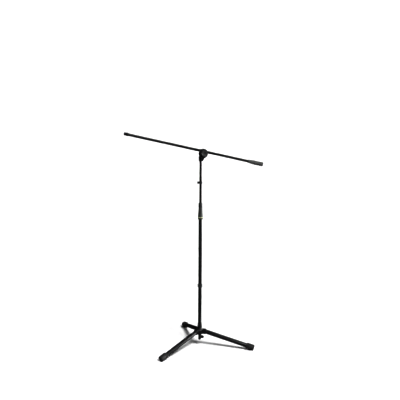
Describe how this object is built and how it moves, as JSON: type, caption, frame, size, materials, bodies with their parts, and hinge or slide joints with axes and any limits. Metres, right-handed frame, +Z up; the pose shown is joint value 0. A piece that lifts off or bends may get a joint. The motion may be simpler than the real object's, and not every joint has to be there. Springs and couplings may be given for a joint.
{
  "type": "boom microphone stand",
  "caption": "Folding-base stand with a two-piece pole, twist clutch and a tilting, sliding boom with a weighted grip, for holding a microphone.",
  "frame": {"origin": "on the pole axis at the floor", "axes": "+Z up along the pole; the boom's microphone end points towards -X, 13.2 degrees above level; the clamp knob faces -Y"},
  "size_m": [0.8585, 0.537, 1.293],
  "materials": {
    "steel_tube": "fine satin powder coat on steel tube",
    "cast_metal": "satin powder coat on die-cast zinc",
    "rubber": "matt moulded rubber",
    "knob_plastic": "fine-textured moulded nylon",
    "soft_grip": "soft-touch grip",
    "ring_plastic": "smooth yellow-green plastic",
    "inner_plastic": "plain moulded plastic",
    "zinc_steel": "zinc-plated steel",
    "brass": "turned brass",
    "black_steel": "blackened steel"
  },
  "bodies": {
    "base": {"hub": "cast_metal", "leg_pivot_pins": "black_steel", "lower_tube": "steel_tube", "bumper_ring": "rubber", "lock_screw": "zinc_steel", "clutch_base": "inner_plastic", "clutch_collet": "inner_plastic", "clutch_collar": "knob_plastic", "clutch_ring": "ring_plastic"},
    "leg_right": {"leg_knuckle_right": "cast_metal", "leg_tube_right": "steel_tube", "foot_cap_right": "rubber"},
    "leg_rear": {"leg_knuckle_rear": "cast_metal", "leg_tube_rear": "steel_tube", "foot_cap_rear": "rubber"},
    "leg_left": {"leg_knuckle_left": "cast_metal", "leg_tube_left": "steel_tube", "foot_cap_left": "rubber"},
    "lock_plate": {"lock_plate": "cast_metal", "lock_washer": "black_steel"},
    "lock_knob": {"lock_knob": "knob_plastic", "lock_knob_insert": "brass"},
    "clutch_grip": {"clutch_grip": "soft_grip", "clutch_cap": "knob_plastic"},
    "guide_bush": {"rod_guide_bush": "inner_plastic"},
    "upper_rod": {"upper_rod": "steel_tube", "rod_end_plug": "zinc_steel", "bush_retaining_ring": "zinc_steel", "rod_top_stud": "zinc_steel", "shoulder": "cast_metal", "friction_washer": "inner_plastic"},
    "cable_clip": {"cable_clip": "knob_plastic"},
    "boom_clamp": {"clamp_rear_half": "knob_plastic", "clamp_front_half": "knob_plastic", "clamp_bolt": "black_steel"},
    "clamp_knob": {"clamp_knob": "knob_plastic", "clamp_knob_insert": "brass", "clamp_knob_cap": "knob_plastic"},
    "boom": {"boom_tube": "steel_tube", "boom_end_plug": "black_steel", "thread_adapter": "black_steel", "counterweight": "zinc_steel", "grip_sleeve": "soft_grip", "grip_end_cap": "knob_plastic"},
    "lock_ring": {"lock_ring": "black_steel"}
  },
  "joints": [
    {"name": "leg_right_fold", "type": "hinge", "parent": "base", "child": "leg_right", "pos_m": [0.02508, -0.01822, 0.0927], "axis": [-0.5878, -0.809, 0], "range_deg": [0, 103]},
    {"name": "leg_rear_fold", "type": "hinge", "parent": "base", "child": "leg_rear", "pos_m": [0.00324, 0.03083, 0.0927], "axis": [0.9945, -0.1045, 0], "range_deg": [0, 103]},
    {"name": "leg_left_fold", "type": "hinge", "parent": "base", "child": "leg_left", "pos_m": [-0.02832, -0.01261, 0.0927], "axis": [-0.4067, 0.9135, 0], "range_deg": [0, 103]},
    {"name": "lock_plate_travel", "type": "slide", "parent": "base", "child": "lock_plate", "axis": [0, 0, -1], "range_m": [0, 0.0025]},
    {"name": "lock_knob_turn", "type": "hinge", "parent": "lock_plate", "child": "lock_knob", "pos_m": [0, 0, 0.06], "axis": [0, 0, -1], "range_deg": [0, 720]},
    {"name": "clutch_turn", "type": "hinge", "parent": "base", "child": "clutch_grip", "pos_m": [0, 0, 0.82], "axis": [0, 0, 1], "range_deg": [0, 180]},
    {"name": "height_slide", "type": "slide", "parent": "base", "child": "guide_bush", "axis": [0, 0, 1], "range_m": [-0.105, 0.24]},
    {"name": "pole_swivel", "type": "hinge", "parent": "guide_bush", "child": "upper_rod", "pos_m": [0, 0, 0.6], "axis": [0, 0, 1], "continuous": true},
    {"name": "cable_clip_slide", "type": "slide", "parent": "upper_rod", "child": "cable_clip", "axis": [0, 0, 1], "range_m": [0, 0.105]},
    {"name": "boom_tilt", "type": "hinge", "parent": "upper_rod", "child": "boom_clamp", "pos_m": [0, -0.0165, 1.165], "axis": [0, 1, 0], "range_deg": [-85, 60]},
    {"name": "clamp_knob_turn", "type": "hinge", "parent": "boom_clamp", "child": "clamp_knob", "pos_m": [0, -0.045, 1.165], "axis": [0, -1, 0], "range_deg": [0, 540]},
    {"name": "boom_slide", "type": "slide", "parent": "boom_clamp", "child": "boom", "axis": [-0.9736, 0, 0.2284], "range_m": [-0.41, 0.27]},
    {"name": "lock_ring_turn", "type": "hinge", "parent": "boom", "child": "lock_ring", "pos_m": [-0.44491, -0.0165, 1.28168], "axis": [-0.9736, 0, 0.2284], "continuous": true}
  ],
  "couplings": [
    {"joint": "lock_knob_turn", "follows": "lock_plate_travel", "rad_per_m": 5026.5}
  ]
}
